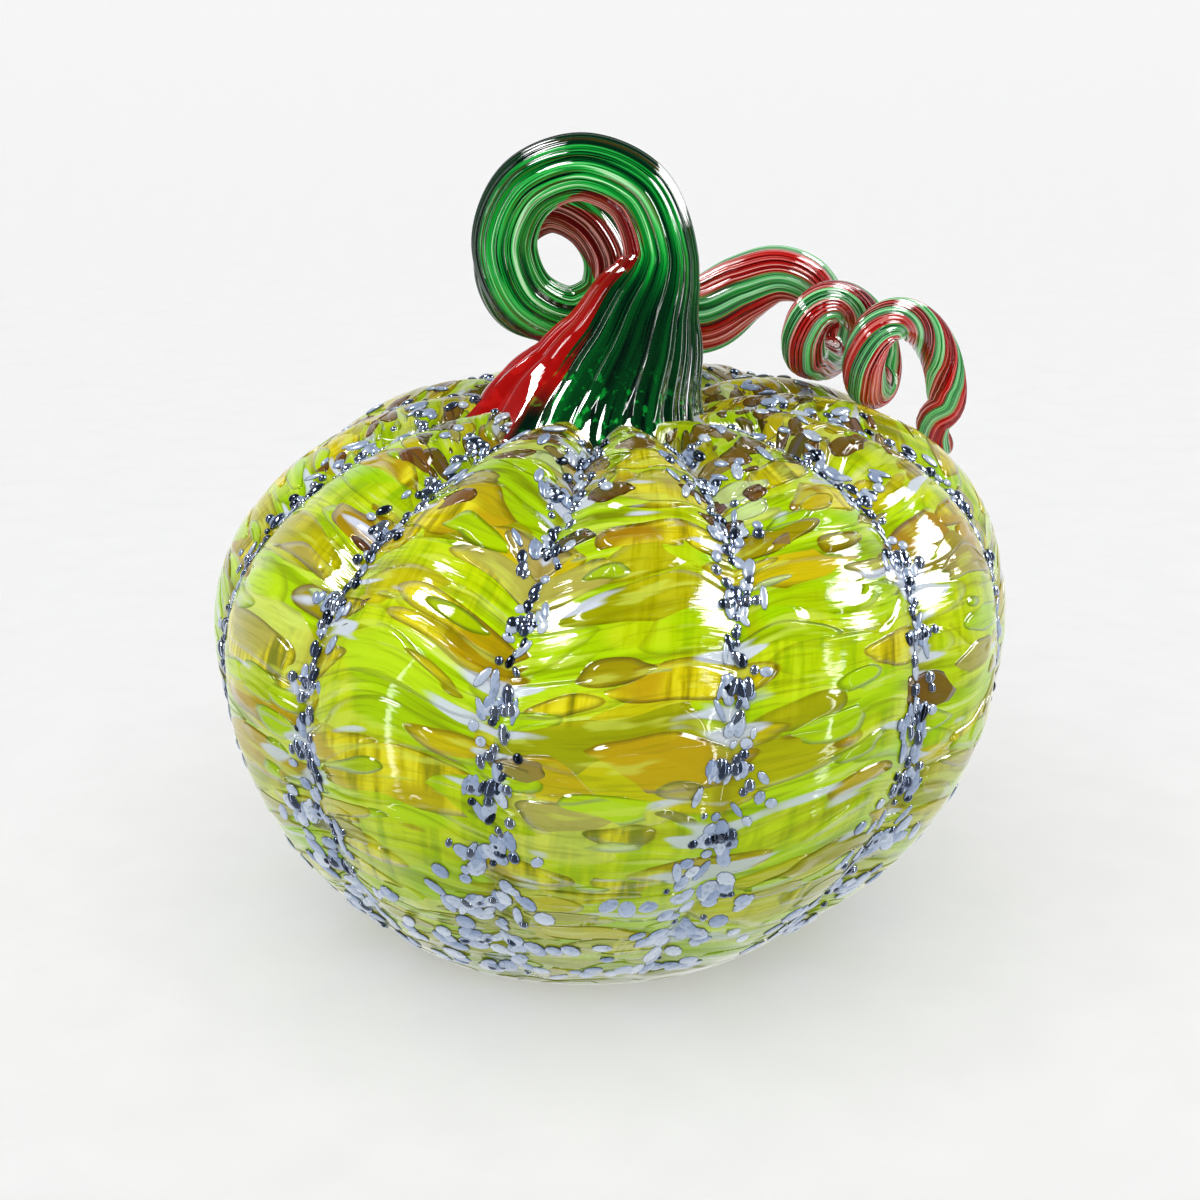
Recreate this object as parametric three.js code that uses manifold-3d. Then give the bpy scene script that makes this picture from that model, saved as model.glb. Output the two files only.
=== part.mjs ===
import * as THREE from 'three';
import { mergeVertices } from 'three/addons/utils/BufferGeometryUtils.js';
import Module from 'manifold-3d';

// A blown glass pumpkin: a hollow body of twelve lobes, a line of coarse frit along each groove,
// and a two-colour cane drawn up from its crown as a stem, a crook and a curled vine.
// Millimetres, +Z up. The origin is on the table under the middle of the waist,
// and the front faces -Y.

// Body: one bubble, blown thick
const bodyWidth = 165;
const waistHeight = 59;
const crownRise = 51.5;
const lowerDrop = 74.5;
const crownSquarenessShare = 2.5;
const lowerSquarenessShare = 1.82;
const wall = 4;

// Body: how it leans, as hand-blown glass does
const baseShiftLeft = 4.5;
const crownSwayRight = 11;
const crownSwayBack = 22;
const grooveTwistDegrees = 2.8;

// Body: lobes and the dip in the crown
const lobeCount = 12;
const grooveDepth = 3;
const crownGrooveDepth = 6;
const dimpleDepth = 7.5;
const dimpleRadius = 22;
const baseBlendHeight = 18;
const lobeCrownDegrees = 60;

// Body: blow hole above, rest ring and pontil mark below
const blowHoleRadius = 9;
const pontilRadius = 13;
const pontilDepth = 1.2;
const pontilEdge = 4;

// Body: how finely it is rounded, outside and inside
const facetsPerLobe = 6;
const crownSteps = 6;
const flankSteps = 14;
const innerCrownSteps = 4;
const innerFlankSteps = 8;
const poleSteps = 2;
const poleShare = 1 / 3;
const slopeAngleShare = 0.001;

// Clear gap between neighbouring pieces of glass
const seatGap = 0.35;

// Frit: coarse chips fused along each groove
const fritWidth = 7;
const fritThickness = 1.9;
const fritStart = 5.5;
const fritEndHeight = 7;
const fritStations = 26;
const fritNarrowShare = 0.68;
const fritLowShare = 0.5;
const fritTopWidthShare = 0.7;
const fritRidgeShare = 1.2;
const fritHighEvery = 3;

// Stem: foot and shaft, as [right, back, up, half width, half depth] shares
const stemRight = -1;
const stemSink = 5;
const footRadius = 24.5;
const shaftHeight = 36;
const shaftShares = [
  [0.0, 0.0, 0.0, 1.0, 0.9],
  [0.01, 0.0, 0.14, 1.0, 0.88],
  [0.04, -0.03, 0.26, 0.9, 0.64],
  [0.12, -0.08, 0.42, 0.73, 0.41],
  [0.23, -0.13, 0.61, 0.6, 0.31],
  [0.32, -0.15, 0.81, 0.48, 0.28],
  [0.42, -0.13, 0.99, 0.36, 0.27],
];

// Crook: two turns that draw in towards the back
const caneRadius = 7.3;
const caneDepthShare = 0.84;
const crookTurns = 1.75;
const crookRadius = 15.6;
const crookRadiusLoss = 4.6;
const crookLeft = 4.7;
const crookRise = 35.3;
const crookFront = 2.5;
const crookPitch = 18.9;
const crookRushShare = 0.9;
const crookShiftLeft = 6.3;
const crookShiftDown = 5;
const crookSettle = 3;
const crookStopsPerTurn = 8;
const crookDrawShares = [0.45, 0.7];
const crookSettleShares = [1.2, 0.4];
const crookSlimTurnShare = 0.25;
const crookSlimShare = 0.08;
const crookDrawnSlimShare = 0.14;

// Arch: from behind the stem over to the vine, as [right, back, up, radial, axial] shares
const archInset = 32.5;
const archBack = 29;
const archRise = 25.5;
const archShares = [
  [0.1, 0.98, 0.62, 0.93, 0.86],
  [0.27, 1.0, 0.62, 1.08, 0.86],
  [0.43, 1.0, 0.67, 1.14, 0.86],
  [0.58, 1.0, 0.87, 1.01, 0.84],
  [0.72, 1.0, 1.0, 0.85, 0.79],
  [0.85, 1.07, 0.95, 0.74, 0.73],
  [0.95, 1.24, 0.73, 0.68, 0.68],
  [1.0, 1.33, 0.49, 0.65, 0.65],
  [0.98, 1.2, 0.28, 0.64, 0.64],
];

// Vine: two slanted loops that open as they run down. It stands in from the waist
// and up from the crown.
const vineRadius = 4.55;
const vineLoopReach = 9.5;
const vineLoopRadius = 7.1;
const vineLoopGrowShare = 0.22;
const vineTurnsBefore = 0.25;
const vineTurns = 1.65;
const vineStopShare = 0.1;
const vineInset = 35.7;
const vineBack = 22;
const vineStand = 14.03;
const vineStepRight = 13.6;
const vineStepBack = -0.6;
const vineStepDown = 5;
const vineHeadingDegrees = 33;
const vineTiltShare = 0.28;
const vineTaper = 0.08;

// Tail: the drawn-out end that hangs over the shoulder
const tailInset = 6.5;
const tailBack = 33;
const tailFall = 29;
const tipRadius = 2.9;
const tailShares = [
  [0.978, 0.915, 0.614, 1.41],
  [0.946, 0.91, 0.728, 1.33],
  [0.952, 0.945, 0.857, 1.17],
  [1.0, 1.0, 1.0, 1.0],
];

// Colours of the cane, and how it is twisted
const redHalfAngleDegrees = 72;
const redStartDegrees = 180;
const layShare = 0.55;
const caneStations = 150;
const redSteps = 4;
const greenSteps = 7;
const routeDivisions = 2000;

// How the gap of the cane to itself is measured
const gapStations = 400;
const gapPoints = 24;
const gapTravelShare = 2.6;
const leastGap = 0.4;

const degree = Math.PI / 180;
const bodyRadius = bodyWidth / 2;
const crestStep = (2 * Math.PI) / lobeCount;
const fritTopRadius = footRadius + fritStart;
const archReach = bodyRadius - archInset;
const vineRight = bodyRadius - vineInset;
const tailRight = bodyRadius - tailInset;

function smooth(value) {
  const inside = Math.min(1, Math.max(0, value));
  return inside * inside * (3 - 2 * inside);
}

// Radius and height of the round profile at an angle above or below the waist
function profileAt(angle) {
  const squareness = angle > 0 ? crownSquarenessShare : lowerSquarenessShare;
  const rise = angle > 0 ? crownRise : -lowerDrop;
  const power = 2 / squareness;
  const radius = bodyRadius * Math.abs(Math.cos(angle)) ** power;
  const height = waistHeight + rise * Math.abs(Math.sin(angle)) ** power;
  return new THREE.Vector2(radius, height);
}

// The profile angle at which the lower half meets the table
function restAngle() {
  const share = (waistHeight / lowerDrop) ** (lowerSquarenessShare / 2);
  return -Math.asin(share);
}

// The profile angle of the crown at a given radius
function crownAngle(radius) {
  return Math.acos((radius / bodyRadius) ** (crownSquarenessShare / 2));
}

// How far a groove sinks below the crests
function grooveAt(radius, height) {
  const climb = Math.max(0, (height - waistHeight) / crownRise);
  const depth = grooveDepth + (crownGrooveDepth - grooveDepth) * climb ** 3;
  return depth * smooth(height / baseBlendHeight) * smooth(radius / dimpleRadius);
}

// 0 on the crest of a lobe and 1 in a groove
function valleyAt(azimuth) {
  const turn = azimuth / crestStep;
  return 2 * Math.abs(turn - Math.round(turn));
}

// A point of the glass skin, moved off it by an offset
function skinPoint(angle, azimuth, offset) {
  const here = profileAt(angle);
  const before = profileAt(angle - slopeAngleShare);
  const along = profileAt(angle + slopeAngleShare).sub(before).normalize();
  const normal = new THREE.Vector2(along.y, -along.x);
  const sink = grooveAt(here.x, here.y) * valleyAt(azimuth) ** 2;
  const radius = here.x + normal.x * (offset - sink);
  const dip = dimpleDepth * Math.exp(-((here.x / dimpleRadius) ** 2)) * (angle > 0 ? 1 : 0);
  const height = here.y + normal.y * (offset - sink) - dip;
  const lift = (here.y - waistHeight) / waistHeight;
  const sway = lift > 0 ? lift * lift * (here.x / bodyRadius) : 0;
  const turn = azimuth + grooveTwistDegrees * degree * lift;
  const fall = Math.min(0, lift);
  const middleX = crownSwayRight * sway - baseShiftLeft * fall * fall;
  const middleY = crownSwayBack * sway;
  return new THREE.Vector3(
    middleX + radius * Math.sin(turn),
    middleY - radius * Math.cos(turn),
    height,
  );
}

// A closed solid through rings of equal count, capped at both ends. crossColumn is
// a column of faces whose diagonal runs the other way, where two solids lie face to face.
function loft(rings, firstCap, lastCap, crossColumn = -1) {
  const count = rings[0].length;
  const positions = [];
  rings.forEach((ring) => ring.forEach((point) => positions.push(point.x, point.y, point.z)));
  positions.push(firstCap.x, firstCap.y, firstCap.z, lastCap.x, lastCap.y, lastCap.z);
  const first = rings.length * count;
  const last = first + 1;
  const top = (rings.length - 1) * count;
  const index = [];
  for (let side = 0; side < count; side += 1) {
    const next = (side + 1) % count;
    index.push(first, next, side, last, top + side, top + next);
    for (let row = 0; row < rings.length - 1; row += 1) {
      const a = row * count + side;
      const b = row * count + next;
      const c = b + count;
      const d = a + count;
      if (side === crossColumn) {
        index.push(a, b, d, b, c, d);
      } else {
        index.push(a, b, c, a, c, d);
      }
    }
  }
  const geometry = new THREE.BufferGeometry();
  geometry.setAttribute('position', new THREE.Float32BufferAttribute(positions, 3));
  geometry.setIndex(index);
  return faceOut(geometry);
}

// Turns a closed mesh so that its faces point out
function faceOut(geometry) {
  const place = geometry.getAttribute('position');
  const corners = geometry.getIndex().array;
  const [a, b, c] = [new THREE.Vector3(), new THREE.Vector3(), new THREE.Vector3()];
  let volume = 0;
  for (let i = 0; i < corners.length; i += 3) {
    a.fromBufferAttribute(place, corners[i]);
    b.fromBufferAttribute(place, corners[i + 1]);
    c.fromBufferAttribute(place, corners[i + 2]);
    volume += a.dot(b.cross(c));
  }
  if (volume < 0) {
    geometry.setIndex(Array.from(corners).reverse());
  }
  return geometry;
}

// The middle of a ring
function middleOf(ring) {
  const sum = ring.reduce((total, point) => total.add(point), new THREE.Vector3());
  return sum.divideScalar(ring.length);
}

const ringCount = lobeCount * facetsPerLobe;
const azimuths = Array.from({ length: ringCount }, (unused, i) => (i * 2 * Math.PI) / ringCount);

function skinRing(angle, offset, lowest = 0) {
  return azimuths.map((azimuth) => {
    const point = skinPoint(angle, azimuth, offset);
    point.z = Math.max(lowest, point.z);
    return point;
  });
}

// A point placed from the middle of the base
function underPoint(right, back, height) {
  return new THREE.Vector3(right - baseShiftLeft, back, height);
}

function flatRing(radius, height) {
  const places = azimuths.map((azimuth) => [Math.sin(azimuth), -Math.cos(azimuth)]);
  return places.map(([x, y]) => underPoint(radius * x, radius * y, height));
}

// Angles from one profile angle to another, in equal steps
function steps(from, to, count) {
  return Array.from({ length: count + 1 }, (unused, i) => from + ((to - from) * i) / count);
}

// Profile angles from the blow hole down to the table
function bodyAngles(crownCount, flankCount) {
  const crownEnd = lobeCrownDegrees * degree;
  return [
    ...steps(crownAngle(blowHoleRadius), crownEnd, crownCount),
    ...steps(crownEnd, restAngle(), flankCount).slice(1),
  ];
}

const outerAngles = bodyAngles(crownSteps, flankSteps);
const innerAngles = bodyAngles(innerCrownSteps, innerFlankSteps);

// Body shell: outside down from the blow hole, under the base, and back up inside
function bodyShell() {
  const restRadius = profileAt(restAngle()).x;
  const outside = outerAngles.map((angle) => skinRing(angle, 0));
  const under = [flatRing(pontilRadius, 0), flatRing(pontilRadius - pontilEdge, pontilDepth)];
  const inside = innerAngles.map((angle) => skinRing(angle, -wall, wall));
  const floor = flatRing((restRadius - wall) / 2, wall);
  const rings = [...under.reverse(), ...outside.reverse(), ...inside, floor];
  return loft(rings, underPoint(0, 0, pontilDepth), underPoint(0, 0, wall));
}

// The crown as a solid, grown by the seat gap: what the foot of the stem is shaped over
function crownForm() {
  const angles = outerAngles.filter((angle) => angle > 0);
  const poleAngle = crownAngle(blowHoleRadius * poleShare);
  const poleAngles = steps(poleAngle, crownAngle(blowHoleRadius), poleSteps);
  const downward = [...poleAngles.slice(0, -1), ...angles];
  const rings = downward.reverse().map((angle) => skinRing(angle, seatGap));
  return loft(rings, middleOf(rings[0]), middleOf(rings[rings.length - 1]));
}

// One line of frit, laid along a groove and following both of its slopes
function fritRow(number) {
  const azimuth = (number - 0.5) * crestStep;
  const top = crownAngle(fritTopRadius);
  const bottomShare = (waistHeight - fritEndHeight) / lowerDrop;
  const bottom = -Math.asin(bottomShare ** (lowerSquarenessShare / 2));
  const rings = steps(top, bottom, fritStations - 1).map((angle, station) => {
    const wide = station % 2 === 0;
    const half = (fritWidth / 2) * (wide ? 1 : fritNarrowShare);
    const high = (station + number) % fritHighEvery === 0;
    const thickness = fritThickness * (high ? 1 : fritLowShare);
    const spread = half / profileAt(angle).x;
    const under = [-1, 0, 1].map((side) => skinPoint(angle, azimuth + side * spread, seatGap));
    const over = [fritTopWidthShare, 0, -fritTopWidthShare].map((side) => {
      const lift = seatGap + thickness * (side === 0 ? fritRidgeShare : 1);
      return skinPoint(angle, azimuth + side * spread, lift);
    });
    return [...under, ...over];
  });
  return loft(rings, middleOf(rings[0]), middleOf(rings[rings.length - 1]));
}

// Where the stem stands on the crown
const stemSeat = new THREE.Vector3(stemRight, 0, waistHeight + crownRise - dimpleDepth);

// How far the middle of the first vine loop is above the seat
function vineRise() {
  const crest = profileAt(crownAngle(Math.hypot(vineRight, vineBack))).y;
  return crest + vineStand - stemSeat.z;
}

function fromSeat(right, back, up) {
  return new THREE.Vector3(right, back, up).add(stemSeat);
}

// Route of the cane, with its half width and half depth at each point
function caneRoute() {
  const route = [];
  const put = (point, radial, axial) => route.push({ point, radial, axial });
  for (const [right, back, up, width, depth] of shaftShares) {
    const point = fromSeat(right * footRadius, back * footRadius, up * shaftHeight - stemSink);
    put(point, width * footRadius, depth * footRadius);
  }
  const [drawStart, drawSpan] = crookDrawShares;
  const [settleStart, settleSpan] = crookSettleShares;
  for (let i = 0; i <= crookTurns * crookStopsPerTurn; i += 1) {
    const turn = i / crookStopsPerTurn;
    const drawn = smooth((turn - drawStart) / drawSpan);
    const settled = smooth((turn - settleStart) / settleSpan);
    const slim = crookSlimShare * Math.min(1, turn / crookSlimTurnShare);
    const radius = crookRadius - crookRadiusLoss * drawn;
    const angle = turn * 2 * Math.PI;
    const right = -crookLeft - crookShiftLeft * drawn + radius * Math.cos(angle);
    const up = crookRise - crookShiftDown * drawn - crookSettle * settled + radius * Math.sin(angle);
    const radial = caneRadius * (1 - slim - crookDrawnSlimShare * drawn);
    const behind = crookPitch * turn ** crookRushShare - crookFront;
    put(fromSeat(right, behind, up), radial, caneRadius * caneDepthShare);
  }
  for (const [right, back, up, radial, axial] of archShares) {
    const point = fromSeat(right * archReach, back * archBack, up * archRise);
    put(point, radial * caneRadius, axial * caneRadius);
  }
  const heading = vineHeadingDegrees * degree;
  const rise = vineRise();
  for (let turn = -vineTurnsBefore; turn < vineTurns; turn += vineStopShare) {
    const grown = 1 + vineLoopGrowShare * turn;
    const reach = vineLoopReach * grown * Math.cos(turn * 2 * Math.PI);
    const climb = vineLoopRadius * grown * Math.sin(turn * 2 * Math.PI) + vineTiltShare * reach;
    const right = vineRight + vineStepRight * turn - reach * Math.sin(heading);
    const back = vineBack + vineStepBack * turn - reach * Math.cos(heading);
    const thick = vineRadius - vineTaper * Math.max(0, turn);
    put(fromSeat(right, back, rise - vineStepDown * turn + climb), thick, thick);
  }
  for (const [right, back, down, thick] of tailShares) {
    const point = fromSeat(right * tailRight, back * tailBack, rise - down * tailFall);
    put(point, thick * tipRadius, thick * tipRadius);
  }
  return route;
}

// The cane sampled at equal steps along its route, with a section frame at each
function caneSections(stations) {
  const route = caneRoute();
  const line = new THREE.CatmullRomCurve3(route.map((stop) => stop.point));
  line.arcLengthDivisions = routeDivisions;
  const sizes = new THREE.CatmullRomCurve3(
    route.map((stop) => new THREE.Vector3(stop.radial, stop.axial, 0)),
  );
  const length = line.getLength();
  const back = new THREE.Vector3(0, 1, 0);
  let twist = redStartDegrees * degree;
  return steps(0, 1, stations).map((share) => {
    const t = line.getUtoTmapping(share);
    const along = line.getTangent(t);
    const axial = back.addScaledVector(along, -back.dot(along)).normalize().clone();
    const radial = axial.clone().cross(along);
    const size = sizes.getPoint(t);
    twist += (layShare * share ** 2 * (length / stations)) / ((size.x + size.y) / 2);
    return { at: line.getPoint(t), radial, axial, half: size, twist, travelled: share * length };
  });
}

// A point on the skin of the cane, at an angle round one of its sections
function canePoint(section, angle) {
  return section.at
    .clone()
    .addScaledVector(section.radial, section.half.x * Math.cos(angle))
    .addScaledVector(section.axial, section.half.y * Math.sin(angle));
}

// The least gap between stretches of the cane that lie apart along it, measured on skin points
function selfGap() {
  const sections = caneSections(gapStations);
  const angles = steps(0, 2 * Math.PI, gapPoints).slice(1);
  const skins = sections.map((section) => angles.map((angle) => canePoint(section, angle)));
  let least = Infinity;
  sections.forEach((one, i) => {
    sections.slice(i + 1).forEach((other, j) => {
      const widest = Math.max(one.half.x, other.half.x);
      const reach = one.half.x + other.half.x + leastGap;
      const apart = other.travelled - one.travelled > gapTravelShare * widest;
      if (apart && one.at.distanceTo(other.at) < reach + leastGap) {
        for (const point of skins[i]) {
          const gaps = skins[i + 1 + j].map((facing) => facing.distanceTo(point));
          least = Math.min(least, ...gaps);
        }
      }
    });
  });
  return least;
}

// One colour of the cane: the arc of the section between two angles, closed by a chord
function caneGeometry(sections, fromDegrees, toDegrees, count, gapSide, crossColumn) {
  const half = redHalfAngleDegrees * degree;
  const rings = sections.map((section) => {
    const one = canePoint(section, section.twist - half);
    const other = canePoint(section, section.twist + half);
    const tangent = section.radial.clone().cross(section.axial);
    const apart = other.sub(one).cross(tangent).normalize();
    const angles = steps(fromDegrees * degree, toDegrees * degree, count);
    return angles.map((angle) => {
      const point = canePoint(section, section.twist + angle);
      return point.addScaledVector(apart, (gapSide * seatGap) / 2);
    });
  });
  return loft(rings, middleOf(rings[0]), middleOf(rings[rings.length - 1]), crossColumn);
}

const wasm = await Module();
wasm.setup();

// A geometry as a solid that can be cut
function solidOf(geometry) {
  const merged = mergeVertices(geometry);
  const positions = new Float32Array(merged.getAttribute('position').array);
  const corners = new Uint32Array(merged.getIndex().array);
  const mesh = new wasm.Mesh({ numProp: 3, vertProperties: positions, triVerts: corners });
  return new wasm.Manifold(mesh);
}

function geometryOf(solid) {
  const mesh = solid.getMesh();
  const geometry = new THREE.BufferGeometry();
  geometry.setAttribute('position', new THREE.BufferAttribute(mesh.vertProperties, 3));
  geometry.setIndex(new THREE.BufferAttribute(mesh.triVerts, 1));
  return geometry;
}

function named(name, geometry, finish) {
  const mesh = new THREE.Mesh(geometry, new THREE.MeshStandardMaterial(finish));
  mesh.name = name;
  return mesh;
}

const bodyGlass = { color: 0xb4c81e, roughness: 0.06, metalness: 0 };
const greenGlass = { color: 0x0e6b35, roughness: 0.05, metalness: 0 };
const redGlass = { color: 0xa01a14, roughness: 0.08, metalness: 0 };
const silverFrit = { color: 0x9aa7b4, roughness: 0.15, metalness: 0.4 };

const pumpkin = new THREE.Group();
pumpkin.add(named('body_shell', bodyShell(), bodyGlass));

const sections = caneSections(caneStations);
const crown = solidOf(crownForm());
const redHalf = redHalfAngleDegrees;
const redCane = caneGeometry(sections, -redHalf, redHalf, redSteps, 1, redSteps);
const greenCane = caneGeometry(sections, redHalf, 360 - redHalf, greenSteps, -1, -1);
pumpkin.add(named('stem_green', geometryOf(solidOf(greenCane).subtract(crown)), greenGlass));
pumpkin.add(named('stem_red', geometryOf(solidOf(redCane).subtract(crown)), redGlass));

for (let number = 1; number <= lobeCount; number += 1) {
  const name = `frit_row_${String(number).padStart(2, '0')}`;
  pumpkin.add(named(name, fritRow(number), silverFrit));
}

console.log('least gap of the cane to itself in mm', selfGap().toFixed(2));

export default pumpkin;
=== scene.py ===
import math
import random

import bmesh
import bpy
import numpy as np
from mathutils import Matrix, Vector, noise


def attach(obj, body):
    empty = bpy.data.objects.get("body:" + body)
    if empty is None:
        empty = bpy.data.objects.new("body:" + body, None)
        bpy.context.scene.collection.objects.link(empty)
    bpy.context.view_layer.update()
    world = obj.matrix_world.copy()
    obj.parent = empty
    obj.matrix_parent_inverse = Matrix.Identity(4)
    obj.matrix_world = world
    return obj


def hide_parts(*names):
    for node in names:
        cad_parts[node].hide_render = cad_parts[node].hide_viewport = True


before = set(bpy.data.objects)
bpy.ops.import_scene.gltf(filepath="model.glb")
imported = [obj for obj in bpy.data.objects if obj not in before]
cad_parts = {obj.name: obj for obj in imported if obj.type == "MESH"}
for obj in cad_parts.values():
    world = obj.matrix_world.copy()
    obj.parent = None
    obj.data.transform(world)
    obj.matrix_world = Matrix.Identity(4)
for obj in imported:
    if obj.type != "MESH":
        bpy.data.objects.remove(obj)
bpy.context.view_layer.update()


# Body: one bubble of clear yellow glass, blown thick in a mould with twelve ribs.
# Chips of lime, amber, olive, lavender and red-brown glass were rolled into its skin
# while it was hot. The open neck at its top is closed by the foot of the stem.

MM = 0.001
body_radius = 82.5
waist_height = 59
crown_rise = 51.5
lower_drop = 74.5
crown_squareness = 2.5
lower_squareness = 1.82
wall = 4
base_shift_left = 4.5
crown_sway_right = 11
crown_sway_back = 22
groove_twist = math.radians(2.8)
lobe_count = 12
lobe_step = 2 * math.pi / lobe_count
groove_depth = 3
crown_groove_depth = 6
dimple_depth = 7.5
dimple_radius = 22
base_blend_height = 18
neck_radius = 9
pontil_radius = 13
pontil_edge = 4
pontil_depth = 1.2
outer_rows = 150
inner_rows = 20
steps_per_lobe = 40
ripple = 0.2
ripple_wide = 15
ripple_tall = 6
ripple_drift = 3
drift_size = 19
drift_start = Vector((7, 3, 1))
swell = 0.45
swell_size = 30
lip_fade = 6
angle_step = 0.001
profile_tries = 3000
weld = 0.01


def smooth(value):
    inside = min(1, max(0, value))
    return inside * inside * (3 - 2 * inside)


def profile_at(angle):
    """Radius and height of the round profile, at an angle above or below the waist"""
    power = 2 / (crown_squareness if angle > 0 else lower_squareness)
    rise = crown_rise if angle > 0 else -lower_drop
    radius = body_radius * abs(math.cos(angle)) ** power
    return radius, waist_height + rise * abs(math.sin(angle)) ** power


def crown_angle(radius):
    return math.acos((radius / body_radius) ** (crown_squareness / 2))


def low_angle(height):
    share = (waist_height - height) / lower_drop
    return -math.asin(share ** (lower_squareness / 2))


def skin_point(angle, azimuth, offset):
    """A point of the ribbed skin, moved off it by an offset"""
    radius, height = profile_at(angle)
    before = profile_at(angle - angle_step)
    after = profile_at(angle + angle_step)
    run, climb = after[0] - before[0], after[1] - before[1]
    length = math.hypot(run, climb)
    turn = azimuth / lobe_step
    valley = 2 * abs(turn - round(turn))
    rise = max(0, (height - waist_height) / crown_rise)
    sink = groove_depth + (crown_groove_depth - groove_depth) * rise**3
    sink *= smooth(height / base_blend_height) * smooth(radius / dimple_radius) * valley**2
    dip = dimple_depth * math.exp(-((radius / dimple_radius) ** 2)) if angle > 0 else 0
    lift = (height - waist_height) / waist_height
    sway = lift * lift * radius / body_radius if lift > 0 else 0
    fall = min(0, lift)
    out = radius + climb / length * (offset - sink)
    up = height - run / length * (offset - sink) - dip
    aim = azimuth + groove_twist * lift
    x = crown_sway_right * sway - base_shift_left * fall * fall + out * math.sin(aim)
    y = crown_sway_back * sway - out * math.cos(aim)
    return Vector((x, y, up))


def even_angles(top, bottom, count):
    """Profile angles from top to bottom whose points lie at equal distances"""
    tries = np.linspace(top, bottom, profile_tries)
    points = np.array([profile_at(angle) for angle in tries])
    travelled = np.concatenate([[0], np.cumsum(np.hypot(*np.diff(points, axis=0).T))])
    return np.interp(np.linspace(0, travelled[-1], count), travelled, tries), travelled[-1]


def relief(place):
    """How far the skin of melted chips stands in from the mould, at a place on it"""
    broad = noise.noise(place / swell_size)
    drift = ripple_drift * noise.noise(place / drift_size + drift_start)
    chip = Vector((place.x / ripple_wide, place.y / ripple_wide, (place.z + drift) / ripple_tall))
    step = smooth(3 * noise.noise(chip) + 0.5)
    return -swell * (0.5 - 0.5 * broad) - ripple * step


def new_piece(name, form):
    """A new object in the scene with a form that was built point by point"""
    made = bpy.data.objects.new(name, bpy.data.meshes.new(name))
    form.to_mesh(made.data)
    form.free()
    bpy.context.scene.collection.objects.link(made)
    return made


top_angle, rest_angle = crown_angle(neck_radius), low_angle(0)
outer_angles, outer_length = even_angles(top_angle, rest_angle, outer_rows)
inner_angles = even_angles(top_angle, rest_angle, inner_rows)[0]
shell = bmesh.new()
angle_of = shell.verts.layers.float.new("angle")
travel_of = shell.verts.layers.float.new("travel")
side_of = shell.verts.layers.int.new("side")
lay_of = shell.verts.layers.float_vector.new("lay")
valley_of = shell.verts.layers.float.new("valley")
closing, outside, inside = range(3)
profile = [(0, pontil_depth, 0, 0, closing)]
profile.append((pontil_radius - pontil_edge, pontil_depth, 0, 0, closing))
profile.append((pontil_radius, 0, 0, 0, closing))
for number, angle in reversed(list(enumerate(outer_angles))):
    radius, height = profile_at(angle)
    share = 1 - number / (outer_rows - 1)
    profile.append((radius, height, angle, share * outer_length, outside))
for angle in inner_angles:
    radius, height = profile_at(angle)
    profile.append((radius - wall, height, angle, 0, inside))
profile.append((profile_at(rest_angle)[0] / 2, wall, 0, 0, closing))
profile.append((0, wall, 0, 0, closing))
points = []
for radius, height, angle, travel, side in profile:
    point = shell.verts.new((0, -radius, height))
    point[angle_of], point[travel_of], point[side_of] = angle, travel, side
    points.append(point)
lines = [shell.edges.new(pair) for pair in zip(points, points[1:])]
on_axis = {"cent": (0, 0, 0), "axis": (0, 0, 1)}
bmesh.ops.spin(shell, geom=points + lines, angle=lobe_step, steps=steps_per_lobe, **on_axis)
lobe = shell.verts[:] + shell.edges[:] + shell.faces[:]
others = {"angle": 2 * math.pi - lobe_step, "steps": lobe_count - 1, "use_duplicate": True}
bmesh.ops.spin(shell, geom=lobe, **others, **on_axis)
bmesh.ops.remove_doubles(shell, verts=shell.verts[:], dist=weld)
for point in shell.verts:
    azimuth = math.atan2(point.co.x, -point.co.y)
    around = Vector((math.sin(azimuth), -math.cos(azimuth), 0)) * body_radius
    place = around + Vector((0, 0, point[travel_of]))
    turn = azimuth / lobe_step
    point[lay_of] = place
    point[valley_of] = 2 * abs(turn - round(turn))
    if point[side_of] == closing:
        point.co.x -= base_shift_left
    elif point[side_of] == outside:
        fade = smooth(point[travel_of] / lip_fade)
        point.co = skin_point(point[angle_of], azimuth, relief(place) * fade)
        point.co.z = max(0, point.co.z)
    else:
        point.co = skin_point(point[angle_of], azimuth, -wall)
        point.co.z = max(wall, point.co.z)
bmesh.ops.recalc_face_normals(shell, faces=shell.faces[:])
bmesh.ops.scale(shell, vec=(MM, MM, MM), verts=shell.verts[:])
for face in shell.faces:
    face.smooth = True
body = new_piece("body_glass_shell", shell)


def glass_colour(code):
    """A colour picked on a screen, as light"""
    parts = [int(code[at : at + 2], 16) / 255 for at in (1, 3, 5)]
    lit = [p / 12.92 if p <= 0.04045 else ((p + 0.055) / 1.055) ** 2.4 for p in parts]
    return (*lit, 1)


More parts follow.
